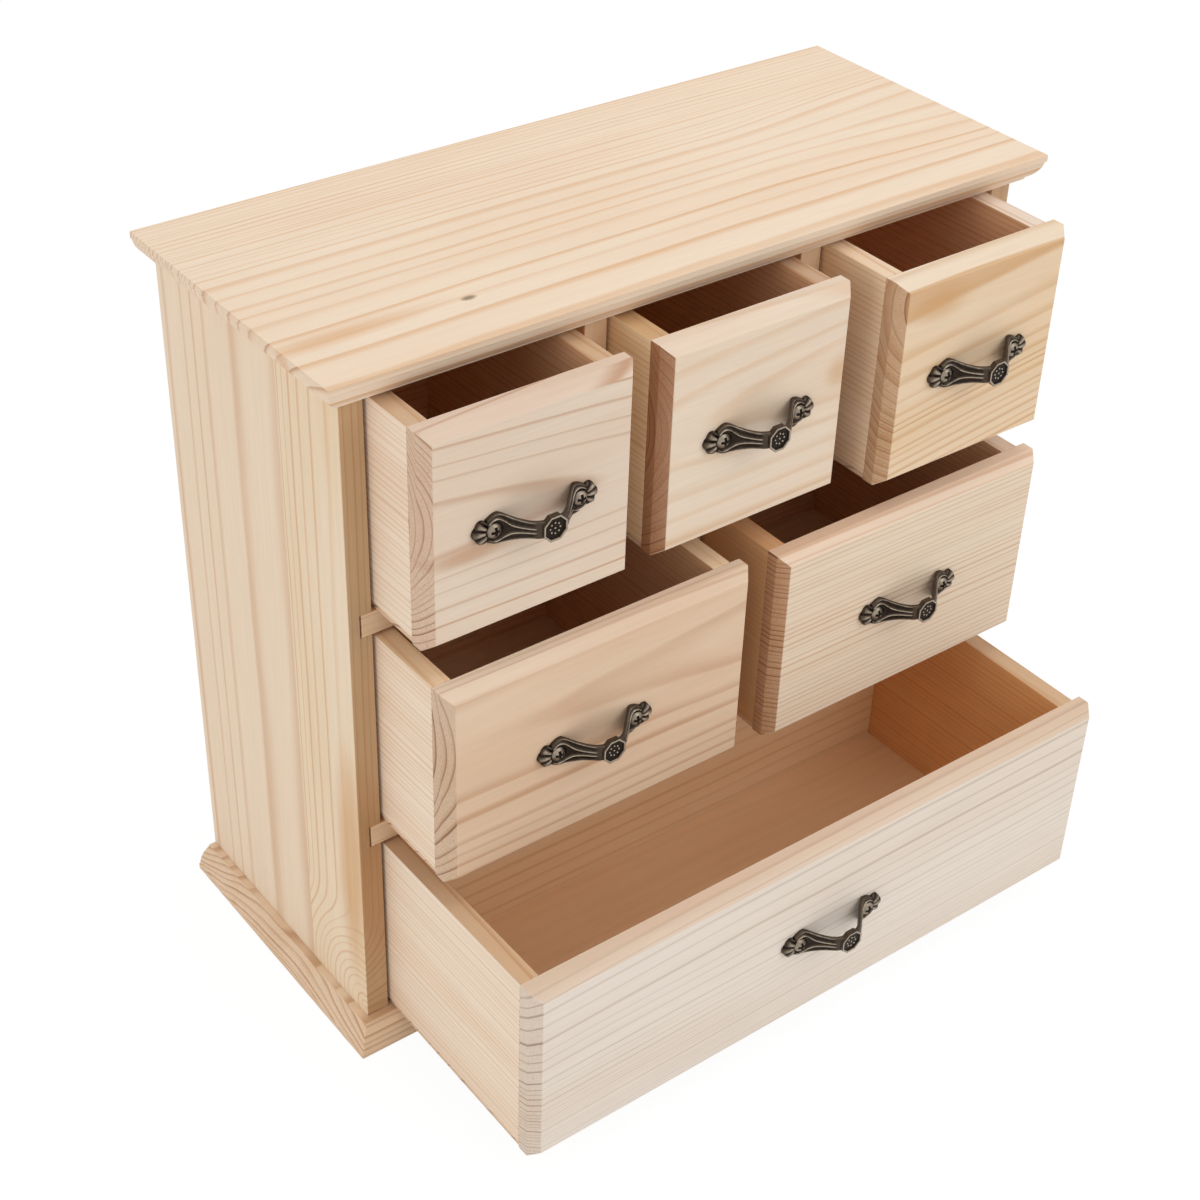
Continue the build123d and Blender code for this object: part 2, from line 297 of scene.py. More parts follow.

    # Upper edges and inner faces, each with a tint of its own: painted light and shade on upper faces,
    # painted shade on inner faces
    turned_range = (0.5, 0.9)
    upper = ease_between(group, split(group, normal)[2], *turned_range)
    colour = blend_colours(group, "MULTIPLY", upper, colour, given["Upper Light And Shade"])
    # Painted shade: faces turned into the cabinet or a drawer are multiplied by a browner tint
    outward = reckon_vector(group, "DOT_PRODUCT", normal, given["Inner"])
    either = reckon(group, "MULTIPLY", reckon(group, "ABSOLUTE", outward), given["Both Sides"])
    inside = ease_between(group, reckon(group, "MAXIMUM", outward, either), *turned_range)
    shaded_inside = blend_colours(group, "MULTIPLY", 1.0, colour, given["Painted Inner Shade"])
    colour = blend_colours(group, "MIX", inside, colour, shaded_inside)

    sanded_roughness = 0.62
    late_wood_polish = -0.12
    fibre_relief = 0.7
    roughness = reckon(group, "MULTIPLY_ADD", mark, late_wood_polish, sanded_roughness)
    feed(group, result.inputs["Color"], colour)
    feed(group, result.inputs["Roughness"], roughness)
    feed(group, result.inputs["Relief"], reckon(group, "MULTIPLY_ADD", fibre, fibre_relief, mark))
    return group


def tone(red, green, blue):
    return tuple(((v / 255 + 0.055) / 1.055) ** 2.4 for v in (red, green, blue)) + (1.0,)


grain_group = pine_grain_group()
grain_bump = 0.25
grain_depth = 0.0002
bare_wood_gloss = 0.3
cream = tone(244, 225, 203)
rose_cream = tone(240, 215, 189)
ring_tan = tone(221, 178, 137)
sawn_tan = (0.80, 0.68, 0.58, 1.0)
unlit_brown = (0.96, 0.71, 0.52, 1.0)
plain = (1.0, 1.0, 1.0, 1.0)
far_off = 9.0


def pine(
    name, grain, heart, ring, lean=(0.0, 0.0), seed=0.0, wander=0.003, lines=0.75, late=0.55, peak=0.90,
    tight=0.002, tight_from=far_off, bend_from=-far_off, bend_run=1.0, eye=(0.0, 0.0, 0.0),
    knot=(far_off, far_off, 0.0), knot_core=0.0001,
    streak=(far_off, far_off, far_off), streak_size=(1.0, 1.0, 1.0),
    end=1.0, end_grain_and_shade=sawn_tan, end_rings=1.0, upper_light_and_shade=plain,
    inner=(0, 0, 0), both_sides=0.0, painted_inner_shade=unlit_brown,
    pale=cream, blush=rose_cream, line=ring_tan,
):
    material = bpy.data.materials.new(name)
    material.use_nodes = True
    tree = material.node_tree
    shader = tree.nodes["Principled BSDF"]
    turn = tree.nodes.new("ShaderNodeMapping")
    tree.links.new(tree.nodes.new("ShaderNodeTexCoord").outputs["Object"], turn.inputs["Vector"])
    quarter = math.pi / 2
    turns = {"X": (0, 0, 0), "Y": (0, 0, -quarter), "Z": (0, quarter, 0)}
    places = {
        "X": (0, -heart[0], -heart[1]),
        "Y": (0, heart[0], -heart[1]),
        "Z": (0, -heart[1], heart[0]),
    }
    directions = {"X": (1, 0, 0), "Y": (0, 1, 0), "Z": (0, 0, 1)}
    turn.inputs["Rotation"].default_value = turns[grain]
    turn.inputs["Location"].default_value = places[grain]
    wood = tree.nodes.new("ShaderNodeGroup")
    wood.node_tree = grain_group
    tree.links.new(turn.outputs[0], wood.inputs["Log"])
    settings = {
        "Grain": directions[grain], "Lean": (0, lean[0], lean[1]), "Seed": seed, "Ring": ring,
        "Tight Ring": tight, "Tight From": tight_from, "Wander": wander, "Lines": lines,
        "Late Start": late, "Late Peak": peak, "Bend From": bend_from, "Bend Run": bend_run,
        "Eye": eye, "Knot": knot, "Knot Core": knot_core, "Streak": streak, "Streak Size": streak_size,
        "End Shade": end, "End Grain And Shade": end_grain_and_shade, "End Rings": end_rings, "Upper Light And Shade": upper_light_and_shade,
        "Inner": inner, "Both Sides": both_sides, "Painted Inner Shade": painted_inner_shade,
        "Pale": pale, "Blush": blush, "Line": line,
    }
    for socket, value in settings.items():
        wood.inputs[socket].default_value = value
    bump = tree.nodes.new("ShaderNodeBump")
    bump.inputs["Strength"].default_value = grain_bump
    bump.inputs["Distance"].default_value = grain_depth
    tree.links.new(wood.outputs["Relief"], bump.inputs["Height"])
    tree.links.new(wood.outputs["Color"], shader.inputs["Base Color"])
    tree.links.new(wood.outputs["Roughness"], shader.inputs["Roughness"])
    tree.links.new(bump.outputs["Normal"], shader.inputs["Normal"])
    shader.inputs["Specular IOR Level"].default_value = bare_wood_gloss
    return material


def dress(piece, material):
    piece.data.materials.clear()
    piece.data.materials.append(material)


base_board = eased_board("base_board", "cabinet", board_ease)
dress(base_board, pine(
    "base pine", "X", heart=(-0.010, -0.240), ring=0.0019, lean=(0.01, 0.015), seed=3.0, wander=0.0042,
    lines=0.66, late=0.45, end=0.6, end_grain_and_shade=(0.93, 0.88, 0.85, 1.0),
    pale=tone(243, 217, 188), blush=tone(238, 207, 173), line=tone(196, 148, 104),
))


# Side panels: bare pine with upright grain and square edges, glued between the base and the top.
# Each is glued up from two boards, and a through groove inside takes each shelf end.
def glued_up(node, front_width, front_board, rear_board):
    glue_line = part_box(node)[0].y + front_width
    panel = eased_board(node, "cabinet", board_ease)
    dress(panel, rear_board)
    panel.data.materials.append(front_board)
    bpy.context.view_layer.objects.active = panel
    panel.select_set(True)
    bpy.ops.object.mode_set(mode="EDIT")
    bpy.ops.mesh.select_all(action="SELECT")
    bpy.ops.mesh.bisect(plane_co=(0, glue_line, 0), plane_no=(0, 1, 0))
    bpy.ops.object.mode_set(mode="OBJECT")
    panel.select_set(False)
    for face in panel.data.polygons:
        face.material_index = 1 if face.center.y < glue_line else 0


# Painted shade: the front edge and inner face of each panel's front board, where the drawers shade it; the
# rear boards' inner faces take the default painted inner shade
painted_edge_shade = (0.67, 0.55, 0.43, 1.0)
glued_up(
    "left_side_panel",
    0.0377,
    pine(
        "left panel front pine", "Z", heart=(-0.110, -0.0575), ring=0.0030, seed=1.0, wander=0.0015,
        lines=0.66, late=0.66, peak=0.92, bend_from=0.014, bend_run=0.034,
        streak=(0.080, 0.0055, -0.032), streak_size=(0.070, 0.012, 1.0),
        inner=(1, -1, 0), painted_inner_shade=painted_edge_shade,
        pale=tone(239, 218, 190), blush=tone(235, 209, 175), line=tone(212, 164, 112),
    ),
    pine(
        "left panel rear pine", "Z", heart=(-0.090, -0.006), ring=0.0060, seed=4.0, wander=0.0012,
        lines=0.52, late=0.70, peak=0.92, inner=(1, 0, 0),
        pale=tone(239, 217, 191), blush=tone(237, 213, 186), line=tone(208, 164, 122),
    ),
)
glued_up(
    "right_side_panel",
    0.070,
    pine(
        "right panel front pine", "Z", heart=(0.092, -0.026), ring=0.0046, lean=(0.02, 0.03), seed=2.0,
        lines=0.6, inner=(-1, -1, 0), painted_inner_shade=painted_edge_shade,
    ),
    pine(
        "right panel rear pine", "Z", heart=(0.110, 0.120), ring=0.0036, lean=(0.0, 0.03), seed=5.0,
        wander=0.002, lines=0.5, inner=(-1, 0, 0),
    ),
)


# Shelves and dividers: narrow pine boards, flush with the front edges of the side panels.
# The shelf ends sit in the grooves, and the dividers are nailed and glued between shelf and top.
shelf_cream = tone(236, 206, 172)
shelf_blush = tone(230, 194, 156)
shelf_hearts = {"lower_shelf": (0.030, 0.020), "upper_shelf": (-0.020, 0.240)}
# Painted shade: both faces of each shelf, and of each divider below, take the browner inner tint
for number, (node, heart) in enumerate(shelf_hearts.items()):
    shelf = eased_board(node, "cabinet", board_ease)
    dress(shelf, pine(
        node + " pine", "X", heart, ring=0.0026, lean=(0.01, 0.02), seed=11.0 + number,
        inner=(0, 0, 1), both_sides=1.0, pale=shelf_cream, blush=shelf_blush,
    ))
divider_hearts = {
    "top_left_divider": (-0.045, -0.150),
    "top_right_divider": (0.045, -0.150),
    "middle_divider": (0.000, -0.150),
}
for number, (node, heart) in enumerate(divider_hearts.items()):
    divider = eased_board(node, "cabinet", board_ease)
    dress(divider, pine(
        node + " pine", "Z", heart, ring=0.0024, lean=(0.01, 0.02), seed=14.0 + number,
        inner=(1, 0, 0), both_sides=1.0, pale=shelf_cream, blush=shelf_blush,
    ))


# Back panel: a thin plain-sawn sheet let in between the side panels.
# Small wire nails hold it to the rear edges of the shelves, their heads set flush.
# Painted shade: the back panel's front face, which looks into the cabinet, is tinted browner
back_panel = eased_board("back_panel", "cabinet", fine_ease)
dress(back_panel, pine(
    "back panel pine", "Z", heart=(0.030, 0.105), ring=0.0050, lean=(0.03, 0.06), seed=21.0, wander=0.008,
    inner=(0, -1, 0), pale=tone(238, 212, 182), blush=tone(231, 200, 166),
))


def nail_steel():
    clean_steel = (0.30, 0.29, 0.28, 1)
    dull_steel = (0.16, 0.13, 0.11, 1)
    spot_waves = (900.0, 900.0, 900.0)
    spot_detail = 3.0
    dull_range = (-0.2, 0.2)
    wire_roughness = 0.45
    spot_roughness = 0.3
    material = bpy.data.materials.new("nail steel")
    material.use_nodes = True
    tree = material.node_tree
    shader = tree.nodes["Principled BSDF"]
    place = tree.nodes.new("ShaderNodeTexCoord").outputs["Object"]
    spots = cloud(tree, stretch(tree, place, spot_waves), 0.0, spot_detail)
    dulled = ease_between(tree, spots, *dull_range)
    tree.links.new(blend_colours(tree, "MIX", dulled, clean_steel, dull_steel), shader.inputs["Base Color"])
    roughness = reckon(tree, "MULTIPLY_ADD", spots, spot_roughness, wire_roughness)
    tree.links.new(roughness, shader.inputs["Roughness"])
    shader.inputs["Metallic"].default_value = 0.9
    return material


dress(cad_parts["back_panel_nails"], nail_steel())


# Top board: the same moulded board as the base, turned over, with a pin knot near its front left.
# Its heart lay below the front edge, so the lines are tight at the back and broad at the front.
top_board = eased_board("top_board", "cabinet", board_ease)
dress(top_board, pine(
    "top pine", "X", heart=(-0.082, 0.232), ring=0.0059, seed=7.0, wander=0.0025, lines=0.75, late=0.58,
    tight=0.0021, tight_from=0.112, eye=(0.05, 0.075, 0.57),
    knot=(-0.084, 0.040, 0.0), knot_core=0.0019, end=0.5, end_grain_and_shade=(0.92, 0.88, 0.84, 1.0),
    streak=(-0.130, 0.042, 0.0), streak_size=(0.050, 0.007, 1.0),
    pale=tone(243, 222, 198), blush=tone(240, 214, 186), line=tone(224, 178, 132),
))


# Drawers: six pine boxes, each with a thick front chamfered round its face and four thin walls.
# The sides butt against the front and are glued, and a thin sheet is glued on from below.
drawer_names = ("top_left", "top_middle", "top_right", "middle_left", "middle_right", "bottom")
# Per front: each end tint holds the end grain's own brown and painted shade where the end stands in a gap
# between drawers; each upper tint is painted light and shade on the front's top faces.
front_woods = {
    "top_left": {
        "heart": (-0.0517, 0.230), "ring": 0.0041, "lean": (-0.028, 0.05), "wander": 0.0010,
        "late": 0.76, "peak": 0.92, "lines": 0.72,
        "pale": tone(238, 219, 198), "blush": tone(234, 209, 185), "line": tone(200, 154, 118),
        "streak": (-0.116, 0.0, -0.006), "streak_size": (0.022, 1.0, 0.005),
        "end_grain_and_shade": (0.84, 0.74, 0.67, 1), "end_rings": 2.0, "upper_light_and_shade": (0.89, 0.83, 0.81, 1),
    },
    "top_middle": {
        "heart": (-0.0555, 0.2385), "ring": 0.0052, "lean": (0.040, -0.04), "wander": 0.003,
        "late": 0.45, "peak": 0.85, "lines": 0.66, "line": tone(224, 184, 140),
        "streak": (0.036, 0.0, 0.001), "streak_size": (0.009, 1.0, 0.008),
        "end_grain_and_shade": (0.52, 0.32, 0.21, 1), "end_rings": 2.0, "upper_light_and_shade": (0.93, 0.93, 0.95, 1),
    },
    "top_right": {
        "heart": (-0.123, 0.257), "ring": 0.0068, "lean": (0.0, -0.12), "wander": 0.002,
        "late": 0.45, "peak": 0.88, "tight": 0.0032, "tight_from": 0.046,
        "pale": tone(244, 218, 186), "blush": tone(238, 206, 166), "line": tone(214, 164, 110),
        "streak": (0.070, 0.0, 0.003), "streak_size": (0.022, 1.0, 0.010),
        "end_grain_and_shade": (0.72, 0.60, 0.52, 1), "end_rings": 2.0, "upper_light_and_shade": (0.97, 1.06, 1.22, 1),
    },
    "middle_left": {
        "heart": (-0.0395, 0.158), "ring": 0.0034, "lean": (0.015, 0.0), "wander": 0.002,
        "late": 0.50, "peak": 0.88, "lines": 0.62,
        "pale": tone(238, 210, 180), "blush": tone(232, 198, 166), "line": tone(198, 146, 106),
        "end_grain_and_shade": (0.81, 0.80, 0.78, 1), "upper_light_and_shade": (1.0, 1.07, 1.15, 1),
    },
    "middle_right": {
        "heart": (-0.080, 0.400), "ring": 0.0022, "lean": (0.0, 0.010), "wander": 0.0012,
        "late": 0.50, "lines": 0.66,
        "pale": tone(243, 224, 200), "blush": tone(240, 215, 188), "line": tone(212, 168, 130),
        "end_grain_and_shade": (0.64, 0.44, 0.31, 1), "upper_light_and_shade": (1.0, 0.95, 0.95, 1),
    },
    "bottom": {
        "heart": (-0.111, 0.120), "ring": 0.0044, "lean": (0.0, -0.015), "wander": 0.0030,
        "late": 0.72, "peak": 0.92, "lines": 0.56, "tight": 0.0015, "tight_from": 0.088,
        "pale": tone(242, 230, 217), "blush": tone(239, 223, 206), "line": tone(192, 167, 142),
        "end": 0.8, "end_grain_and_shade": (0.82, 0.75, 0.69, 1), "upper_light_and_shade": (0.85, 0.73, 0.63, 1),
    },
}
# Painted light and shade: warmer tones on left sides that stand in the gaps beside the next drawer, much
# darker on the middle right drawer's
gap_side_light_and_shade = {
    "top_middle_drawer_left_side": {"pale": tone(250, 224, 186), "blush": tone(246, 212, 166)},
    "top_right_drawer_left_side": {"pale": tone(246, 220, 188), "blush": tone(242, 210, 172)},
    "middle_right_drawer_left_side": {"pale": tone(217, 171, 125), "blush": tone(211, 161, 112)},
}
# Painted light and shade on the top edges of each drawer's sides and back, mostly darker where the cabinet
# shades them
upper_edge_light_and_shade = {
    "top_left": (0.73, 0.61, 0.49, 1.0),
    "top_middle": (0.67, 0.56, 0.47, 1.0),
    "top_right": (0.95, 0.97, 1.03, 1.0),
    "middle_left": (1.05, 0.95, 0.80, 1.0),
    "middle_right": (1.0, 0.95, 0.95, 1.0),
    "bottom": (0.76, 0.61, 0.47, 1.0),
}
sheet_cream = tone(250, 234, 214)
sheet_blush = tone(247, 226, 200)
# Painted shade inside the drawers: a browner tint on the sheets' upper faces, a faint one, and stronger ones
# for walls of the bottom drawer
painted_sheet_shade = (0.99, 0.80, 0.62, 1.0)
faint_inner_shade = (1.0, 0.95, 0.88, 1.0)
inner_shades = {
    "bottom_drawer_front": faint_inner_shade,
    "bottom_drawer_left_side": faint_inner_shade,
    "bottom_drawer_right_side": (0.88, 0.55, 0.29, 1.0),
    "bottom_drawer_back": (1.0, 0.89, 0.75, 1.0),
}
usual_back = {"ring": 0.0026}
back_woods = {
    "bottom": {"ring": 0.0060, "lines": 0.42, "late": 0.62, "pale": sheet_cream, "blush": sheet_blush},
}
side_heart_off = 0.09
side_heart_below = 0.120
back_heart_behind = 0.05
back_heart_below = 0.100
sheet_heart_before = 0.04
sheet_heart_below = 0.120
# Inside faces of every drawer wall take painted shade, and the sides' and backs' upper edges take painted
# light and shade
for number, name in enumerate(drawer_names):
    body = name + "_drawer"
    node = name + "_drawer_front"
    front = eased_board(node, body, fine_ease)
    dress(front, pine(
        name + " front pine", "X", seed=31.0 + number,
        inner=(0, 1, 0), painted_inner_shade=inner_shades.get(node, unlit_brown), **front_woods[name],
    ))
    for side, inwards in (("left_side", 1), ("right_side", -1)):
        node = f"{name}_drawer_{side}"
        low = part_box(node)[0]
        shift = side_heart_off * inwards
        wall = eased_board(node, body, board_ease)
        dress(wall, pine(
            node + " pine", "Y", heart=(low.x + shift, low.z - side_heart_below), ring=0.0020,
            lean=(0.0, 0.01), seed=41.0 + number + shift, wander=0.0015, lines=0.65, late=0.50,
            inner=(inwards, 0, 0), painted_inner_shade=inner_shades.get(node, unlit_brown),
            upper_light_and_shade=upper_edge_light_and_shade[name], **gap_side_light_and_shade.get(node, {}),
        ))
    node = name + "_drawer_back"
    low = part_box(node)[0]
    wall = eased_board(node, body, board_ease)
    dress(wall, pine(
        node + " pine", "X", heart=(low.y + back_heart_behind, low.z - back_heart_below),
        lean=(0.0, 0.02), seed=51.0 + number, inner=(0, -1, 0), painted_inner_shade=inner_shades.get(node, unlit_brown),
        upper_light_and_shade=upper_edge_light_and_shade[name], **back_woods.get(name, usual_back),
    ))
    node = name + "_drawer_bottom"
    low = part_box(node)[0]
    sheet = eased_board(node, body, fine_ease)
    dress(sheet, pine(
        node + " pine", "X", heart=(low.y - sheet_heart_before, low.z - sheet_heart_below), ring=0.0050,
        lean=(0.02, 0.02), seed=61.0 + number, wander=0.01, lines=0.12, late=0.1, peak=0.6,
        inner=(0, 0, 1), painted_inner_shade=painted_sheet_shade, pale=sheet_cream, blush=sheet_blush,
    ))


# Bow pulls: cast in one piece and finished in antique bronze, dark in the hollows, bright on the ridges.
# Each foot is a three-lobed shell, the arms are fluted, and a beaded eight-sided medallion covers the crown.
# The relief is given in millimetres from the middle of the pull, from its axis and from the drawer's face.
def rise(value, low, high):
    t = min(max((value - low) / (high - low), 0.0), 1.0)
    return t * t * (3 - 2 * t)


def smooth_run(points):
    slopes = []
    for place in range(len(points)):
        (a, low), (b, high) = points[max(place - 1, 0)], points[min(place + 1, len(points) - 1)]
        slopes.append((high - low) / (b - a))
    return [first + last for first, last in zip(zip(points, slopes), zip(points[1:], slopes[1:]))]


def course(value, run):
    for (a, low), leave, (b, high), arrive in run:
        if value <= b:
            t = (value - a) / (b - a)
            bend = (b - a) * t * (1 - t) * (leave * (1 - t) - arrive * t)
            return low + (high - low) * t * t * (3 - 2 * t) + bend
    return run[-1][2][1]


def ridge(distance, half_width):
    return math.exp(-((distance / half_width) ** 2))


millimetre = 0.001
half_length = 23.8
screw_place = 16.3
neck = 18.65
half_heights = smooth_run((
    (0, 3.1), (6, 3.1), (8.5, 3.4), (11, 4.2), (13, 5.1), (14.6, 5.5),
    (screw_place, 5.2), (18.0, 4.3), (neck, 3.9),
))
outer_line = smooth_run((
    (0, 11.0), (2.5, 11.0), (4.5, 10.5), (6.5, 9.1), (9.0, 6.7), (11.0, 4.8),
    (12.6, 3.3), (14.0, 2.4), (screw_place, 2.1), (18.7, 2.1),
))
inner_line = smooth_run((
    (0, 9.4), (2.5, 9.4), (4.5, 8.8), (6.5, 7.4), (9.0, 4.9), (11.0, 2.9),
    (12.4, 1.5), (13.4, 0.6), (14.4, 0.0), (half_length, 0.0),
))
bead_line = smooth_run((
    (4.5, 0.75), (7, 0.75), (9.6, 0.95), (11.5, 1.5), (13.0, 2.7), (14.2, 3.6),
    (15.4, 4.0), (16.8, 3.8), (18.0, 3.1), (18.7, 2.5),
))
toes = ((21.1, 0.0, 2.6), (20.3, 2.2, 2.0))
edge_round = 0.9
thinnest = 0.4
flute_start, flute_full = 5.2, 6.6
line_width, line_height = 0.26, 0.45
hollow_depth, hollow_share, hollow_least = 0.40, 0.30, 0.12
panel_depth, panel_slope = 0.35, (0.2, 0.7)
rim_inset, rim_width, rim_height = 0.40, 0.24, 0.20
seat_radius, seat_height, seat_wall = 3.05, 1.7, 0.3
shell_root, shell_back = 16.5, 18.6
shell_start, shell_full = 18.3, 18.9
shell_edge, shell_swell, lobe_height = 0.6, 0.9, 1.0
lobe_angle, lobe_slope = 29, (2.0, 3.6)
groove_width = 0.40
crease_place, crease_width = 18.7, 0.3
rim_shine, hollow_dirt, panel_dirt = 0.85, 0.5, 0.45
lobe_shine, lobe_dirt, groove_dirt, crease_dirt = 1.05, 0.32, 1.1, 0.8


def pull_half_height(u):
    if u <= neck:
        return course(u, half_heights)
    reach = 0.0
    for along, up, radius in toes:
        inside = radius ** 2 - (u - along) ** 2
        if inside > 0:
            reach = max(reach, up + math.sqrt(inside))
    return reach


def fluted_arm(u, z, half, out):
    start = rise(u, flute_start, flute_full)
    panel = course(u, bead_line)
    line = ridge(abs(z) - panel, line_width) * start
    hollow = ridge(abs(z) - (panel + half) / 2, hollow_share * (half - panel) + hollow_least) * start
    inside = rise(panel - abs(z), *panel_slope) * start
    rim = ridge(abs(z) - half + rim_inset, rim_width) * start
    out += line_height * line - hollow_depth * hollow - panel_depth * inside + rim_height * rim
    wear = max(line, rim_shine * rim) - hollow_dirt * hollow - panel_dirt * inside
    seat = rise(seat_radius - math.hypot(u - screw_place, z), 0, seat_wall)
    return out * (1 - seat) + seat_height * seat, wear * (1 - seat) - seat


def shell_foot(u, z, up):
    reach = math.hypot(u - shell_root, z)
    angle = math.atan2(z, max(u - shell_root, 0.01))
    lobe = abs(math.cos(angle * 180 / lobe_angle))
    across = math.sqrt(max(1 - abs(up) ** 4, 0.0))
    onward = math.sqrt(max(1 - ((u - shell_back) / (half_length - shell_back)) ** 4, 0.0))
    crown = across * onward
    out = shell_edge + crown * (shell_swell + lobe_height * lobe * rise(reach, *lobe_slope))
    return out, (lobe_shine * lobe - lobe_dirt) * crown - groove_dirt * ridge(lobe, groove_width)


def pull_point(along, up, front):
    u = abs(along) * half_length
    half = pull_half_height(u)
    z = up * half
    if not front:
        return math.copysign(u, along), course(u, inner_line), z, 0.0
    out = course(u, outer_line) - edge_round * (1 - math.sqrt(max(1 - abs(up) ** 6, 0.0)))
    wear = 0.0
    if u < shell_full:
        out, wear = fluted_arm(u, z, half, out)
    if u > shell_start:
        shell_out, shell_wear = shell_foot(u, z, up)
        blend = rise(u, shell_start, shell_full)
        out = out * (1 - blend) + shell_out * blend
        crease = ridge(u - crease_place, crease_width)
        wear = wear * (1 - blend) + shell_wear * blend - crease_dirt * crease
    return math.copysign(u, along), max(out, thinnest), z, wear


def cast_pull():
    bpy.ops.mesh.primitive_grid_add(x_subdivisions=240, y_subdivisions=56, size=2)
    pull = bpy.context.object
    bpy.ops.object.mode_set(mode="EDIT")
    bpy.ops.mesh.select_all(action="SELECT")
    bpy.ops.mesh.extrude_region_move(TRANSFORM_OT_translate={"value": (0, 0, 1)})
    bpy.ops.object.mode_set(mode="OBJECT")
    worn = pull.data.attributes.new("wear", "FLOAT", "POINT")
    for point in pull.data.vertices:
        x, out, z, wear = pull_point(point.co.x, point.co.y, point.co.z > 0.5)
        point.co = (x * millimetre, -out * millimetre, z * millimetre)
        worn.data[point.index].value = wear
    return pull


plate_radius = 0.00487
plate_depth = 0.0021
plate_middle = -0.01055
plate_face = plate_middle - plate_depth / 2
rim_bevel, rim_rise = 0.0002, 0.0001
rim_flat = 0.0004
bowl_wall, bowl_depth = 0.0003, 0.0006
bowl_reach = 0.0044
plate_shine, bowl_dirt = 0.9, 0.9


def medallion():
    bpy.ops.mesh.primitive_cylinder_add(
        vertices=8, radius=plate_radius, depth=plate_depth,
        location=(0, plate_middle, 0), rotation=(math.pi / 2, math.pi / 8, 0),
    )
    plate = bpy.context.object
    bpy.ops.object.transform_apply(location=True, rotation=True, scale=True)
    bpy.ops.object.mode_set(mode="EDIT")
    bpy.ops.mesh.select_mode(type="FACE")
    bpy.ops.mesh.select_all(action="DESELECT")
    bpy.ops.object.mode_set(mode="OBJECT")
    for face in plate.data.polygons:
        face.select = face.normal.y < -0.9
    bpy.ops.object.mode_set(mode="EDIT")
    bpy.ops.mesh.inset(thickness=rim_bevel, depth=rim_rise)
    bpy.ops.mesh.inset(thickness=rim_flat, depth=0.0)
    bpy.ops.mesh.inset(thickness=bowl_wall, depth=-bowl_depth)
    bpy.ops.object.mode_set(mode="OBJECT")
    worn = plate.data.attributes.new("wear", "FLOAT", "POINT")
    for point in plate.data.vertices:
        on_rim = point.co.y < plate_face - rim_rise / 2
        in_bowl = math.hypot(point.co.x, point.co.z) < bowl_reach
        worn.data[point.index].value = plate_shine if on_rim else (-bowl_dirt if in_bowl else 0.0)
    return plate


bead_radius = 0.00034
bead_middle = -0.01115
bead_ring_radius = 0.0019
bead_count = 8
bead_shine = 1.0


def bead(x, z):
    bpy.ops.mesh.primitive_uv_sphere_add(
        segments=12, ring_count=8, radius=bead_radius, location=(x, bead_middle, z),
    )
    dot = bpy.context.object
    bpy.ops.object.transform_apply(location=True, rotation=True, scale=True)
    worn = dot.data.attributes.new("wear", "FLOAT", "POINT")
    for point in worn.data:
        point.value = bead_shine
    return dot


pull_parts = [medallion(), bead(0, 0)]
for count in range(bead_count):
    turn = count * 2 * math.pi / bead_count
    pull_parts.append(bead(bead_ring_radius * math.cos(turn), bead_ring_radius * math.sin(turn)))
cast_merge_gap = 0.000005
cast_smooth_angle = math.radians(40)
bow = cast_pull()
bpy.ops.object.select_all(action="DESELECT")
for part in pull_parts + [bow]:
    part.select_set(True)
bpy.context.view_layer.objects.active = bow
bpy.ops.object.join()
bpy.ops.object.mode_set(mode="EDIT")
bpy.ops.mesh.select_all(action="SELECT")
bpy.ops.mesh.remove_doubles(threshold=cast_merge_gap)
bpy.ops.mesh.normals_make_consistent(inside=False)
bpy.ops.object.mode_set(mode="OBJECT")
bpy.ops.object.shade_smooth_by_angle(angle=cast_smooth_angle)
bpy.ops.object.select_all(action="DESELECT")


def antique_bronze():
    dull_bronze = (0.075, 0.054, 0.038, 1)
    worn_bronze = (0.44, 0.365, 0.28, 1)
    deep_bronze = (0.018, 0.011, 0.007, 1)
    grit_waves = (700.0, 700.0, 700.0)
    grit_detail = 3.0
    grit_rub = 0.7
    bright_range = (0.15, 0.95)
    dark_range = (0.1, -0.6)
    cast_roughness = 0.40
    grit_roughness = 0.25
    material = bpy.data.materials.new("antique bronze")
    material.use_nodes = True
    tree = material.node_tree
    shader = tree.nodes["Principled BSDF"]
    place = tree.nodes.new("ShaderNodeTexCoord").outputs["Object"]
    worn = tree.nodes.new("ShaderNodeAttribute")
    worn.attribute_name = "wear"
    grit = cloud(tree, stretch(tree, place, grit_waves), 0.0, grit_detail)
    rub = reckon(tree, "MULTIPLY_ADD", grit, grit_rub, worn.outputs["Fac"])
    bright = ease_between(tree, rub, *bright_range)
    dark = ease_between(tree, rub, *dark_range)
    colour = blend_colours(tree, "MIX", bright, dull_bronze, worn_bronze)
    colour = blend_colours(tree, "MIX", dark, colour, deep_bronze)
    tree.links.new(colour, shader.inputs["Base Color"])
    roughness = reckon(tree, "MULTIPLY_ADD", grit, grit_roughness, cast_roughness)
    tree.links.new(roughness, shader.inputs["Roughness"])
    shader.inputs["Metallic"].default_value = 0.85
    return material


bronze = antique_bronze()
dress(bow, bronze)
pull_centres = {}
for name in drawer_names:
    low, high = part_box(name + "_pull")
    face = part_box(name + "_drawer_front")[0].y
    pull_centres[name] = ((low.x + high.x) / 2, face, (low.z + high.z) / 2)
    pull = bpy.data.objects.new(name + "_bow_pull", bow.data.copy())
    bpy.context.collection.objects.link(pull)
    pull.data.transform(Matrix.Translation(pull_centres[name]))
    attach(pull, name + "_drawer")
    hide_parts(name + "_pull")
bpy.data.objects.remove(bow)


